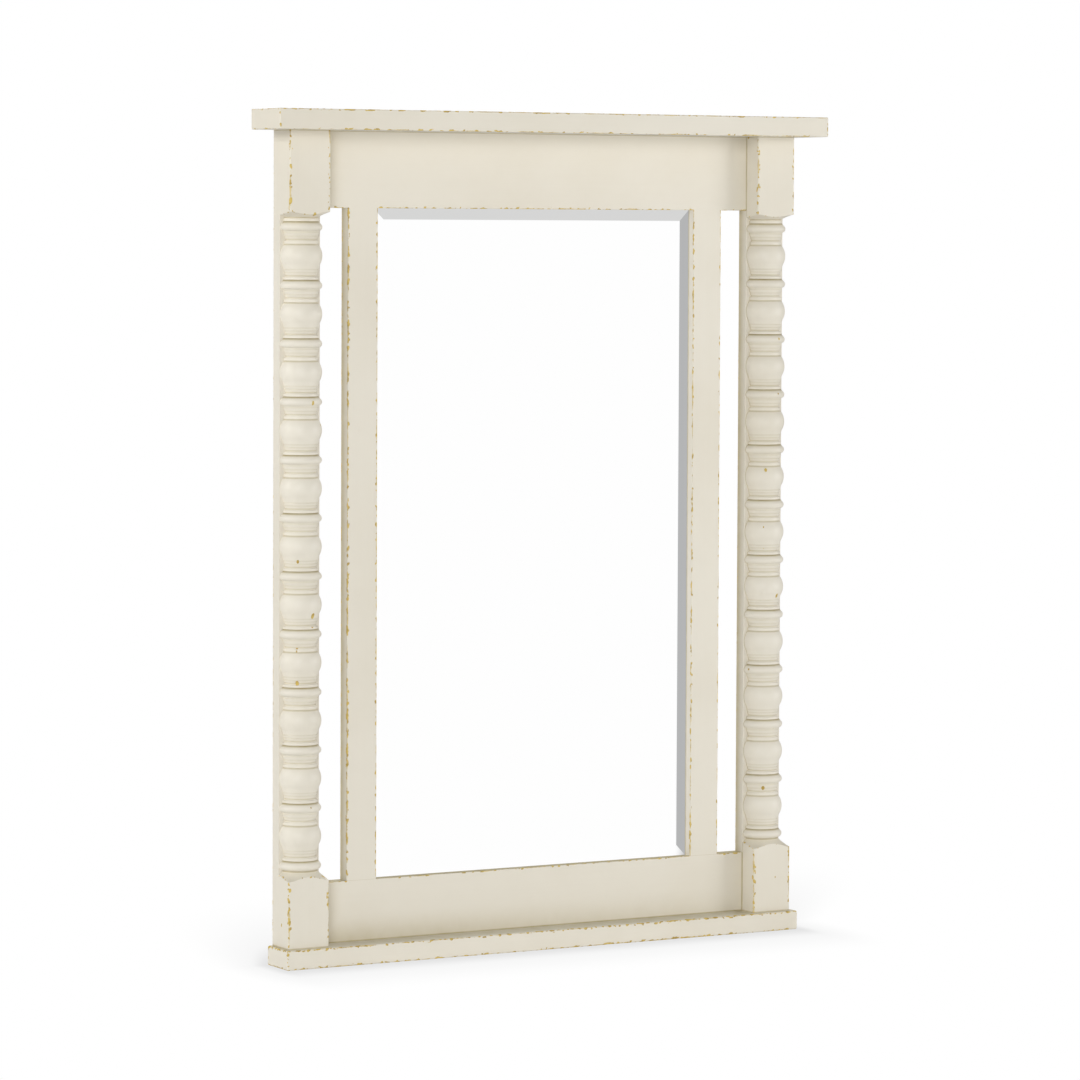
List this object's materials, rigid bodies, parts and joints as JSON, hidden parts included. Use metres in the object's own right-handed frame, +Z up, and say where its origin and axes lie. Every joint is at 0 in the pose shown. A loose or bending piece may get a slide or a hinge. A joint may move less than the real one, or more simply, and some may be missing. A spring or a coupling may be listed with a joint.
{
  "type": "wooden mirror",
  "caption": "Upright wall or mantel mirror in a painted wooden frame: half-round turned posts, open side slots, cap board, base ledge and a bevelled plate.",
  "frame": {"origin": "middle of the whole object's underside, on the ledge's flat", "axes": "+Z up, +Y towards the wall behind, +X to the viewer's right as the viewer faces the plate"},
  "size_m": [0.912, 0.1, 1.22],
  "materials": {
    "painted_wood": "cream paint, satin, rubbed through to ochre wood along the edges",
    "raw_wood": "bare beech",
    "silvered_glass": "silvered, bevelled edge",
    "hardboard": "smooth tempered hardboard",
    "kraft_board": "corrugated kraft board",
    "zinc_steel": "zinc plated",
    "nickel_steel": "nickel plated, satin",
    "rubber": "matt moulded rubber"
  },
  "bodies": {
    "frame": {"cap_board": "painted_wood", "base_board": "painted_wood", "top_rail": "painted_wood", "bottom_rail": "painted_wood", "left_outer_stile": "painted_wood", "right_outer_stile": "painted_wood", "left_inner_stile": "painted_wood", "right_inner_stile": "painted_wood", "left_turned_post": "painted_wood", "right_turned_post": "painted_wood", "mirror_glass": "silvered_glass", "glass_setting_blocks": "rubber", "backing_pad": "kraft_board", "back_panel": "hardboard", "back_panel_screws": "zinc_steel", "cap_dowels": "raw_wood", "base_screws": "zinc_steel", "post_screws": "zinc_steel", "left_strap_hanger": "nickel_steel", "right_strap_hanger": "nickel_steel", "hanger_screws": "zinc_steel", "wall_bumpers": "rubber", "bumper_screws": "zinc_steel"},
    "left_ring": {"left_hanger_ring": "nickel_steel"},
    "right_ring": {"right_hanger_ring": "nickel_steel"}
  },
  "joints": [
    {"name": "left_ring_swing", "type": "hinge", "parent": "frame", "child": "left_ring", "pos_m": [-0.389, 0.04555, 0.98383], "axis": [1, 0, 0], "range_deg": [0, 180]},
    {"name": "right_ring_swing", "type": "hinge", "parent": "frame", "child": "right_ring", "pos_m": [0.389, 0.04555, 0.98383], "axis": [1, 0, 0], "range_deg": [0, 180]}
  ]
}
